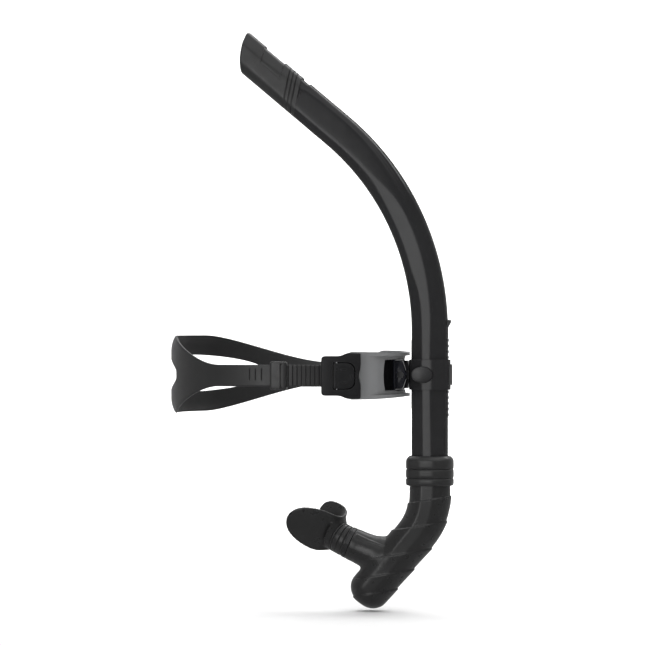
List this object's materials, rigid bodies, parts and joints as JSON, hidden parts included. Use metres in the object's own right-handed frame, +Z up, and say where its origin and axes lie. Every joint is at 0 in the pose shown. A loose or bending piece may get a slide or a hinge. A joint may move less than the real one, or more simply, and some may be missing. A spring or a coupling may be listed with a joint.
{
  "type": "snorkel",
  "caption": "Centre-mount swimmer's snorkel: a curved oval tube in a tilting forehead clip with a strap, a purge elbow and a swivelling mouthpiece.",
  "frame": {"origin": "middle of the forehead pad's rear face, where the forehead rests", "axes": "+X is the way the swimmer faces, +Y is the swimmer's left, +Z is up along the straight part of the tube"},
  "size_m": [0.221, 0.1569, 0.4462],
  "materials": {
    "gloss_black": "glossy",
    "black_plastic": "satin",
    "grey_plastic": "satin",
    "smoke_plastic": "glossy",
    "silicone": "matte",
    "soft_pad": "matte",
    "steel": "brushed"
  },
  "bodies": {
    "harness": {"bracket_frame": "grey_plastic", "forehead_pad": "soft_pad", "clip_base": "smoke_plastic", "tilt_pin": "steel", "base_screw_upper": "steel", "base_screw_lower": "steel", "strap": "silicone", "buckle_housing_far": "black_plastic", "buckle_housing_near": "black_plastic", "lever_pin_far": "steel", "lever_pin_near": "steel", "lever_spring_far": "steel", "lever_spring_near": "steel"},
    "keeper": {"strap_keeper": "silicone"},
    "lever_far": {"release_lever_far": "black_plastic"},
    "lever_near": {"release_lever_near": "black_plastic"},
    "clip": {"tube_clip": "black_plastic", "clip_badge_far": "gloss_black", "clip_badge_near": "gloss_black"},
    "latch": {"height_latch": "black_plastic"},
    "tube_body": {"tube": "gloss_black", "front_rack": "black_plastic", "rear_rail": "black_plastic", "tip_cap": "silicone", "collar": "silicone", "elbow_sleeve": "silicone", "valve_seat": "black_plastic"},
    "valve": {"valve_disc": "silicone"},
    "swivel": {"swivel_ring": "black_plastic", "neck_bellows": "silicone"},
    "mouth": {"mouthpiece": "silicone"}
  },
  "joints": [
    {"name": "clip_tilt", "type": "hinge", "parent": "harness", "child": "clip", "pos_m": [0.01, 0, 0], "axis": [0, 1, 0], "range_deg": [-10, 10]},
    {"name": "latch_pull", "type": "slide", "parent": "clip", "child": "latch", "axis": [1, 0, 0], "range_m": [0, 0.0012], "stiffness_N_per_m": 500},
    {"name": "tube_height", "type": "slide", "parent": "clip", "child": "tube_body", "axis": [0, 0, 1], "range_m": [-0.02, 0.02]},
    {"name": "lever_far_press", "type": "hinge", "parent": "harness", "child": "lever_far", "pos_m": [-0.02787, 0.07312, 0], "axis": [0, 0, 1], "range_deg": [-8, 0], "stiffness_Nm_per_rad": 0.02},
    {"name": "lever_near_press", "type": "hinge", "parent": "harness", "child": "lever_near", "pos_m": [-0.02787, -0.07312, 0], "axis": [0, 0, 1], "range_deg": [0, 8], "stiffness_Nm_per_rad": 0.02},
    {"name": "keeper_slide", "type": "hinge", "parent": "harness", "child": "keeper", "pos_m": [-0.07191, 0.10408, 0], "axis": [0, 0, 1], "range_deg": [-12, 6]},
    {"name": "valve_lift", "type": "slide", "parent": "tube_body", "child": "valve", "axis": [-0.6468, 0, -0.7626], "range_m": [0, 0.0015]},
    {"name": "mouth_swivel", "type": "hinge", "parent": "tube_body", "child": "swivel", "pos_m": [-0.038, 0, -0.1276], "axis": [-0.9164, 0, 0.4003], "range_deg": [-18, 42]},
    {"name": "mouth_bend", "type": "hinge", "parent": "swivel", "child": "mouth", "pos_m": [-0.038, 0, -0.1276], "axis": [0.3916, -0.2079, 0.8963], "range_deg": [-15, 35], "deforming": ["neck_bellows"]}
  ]
}
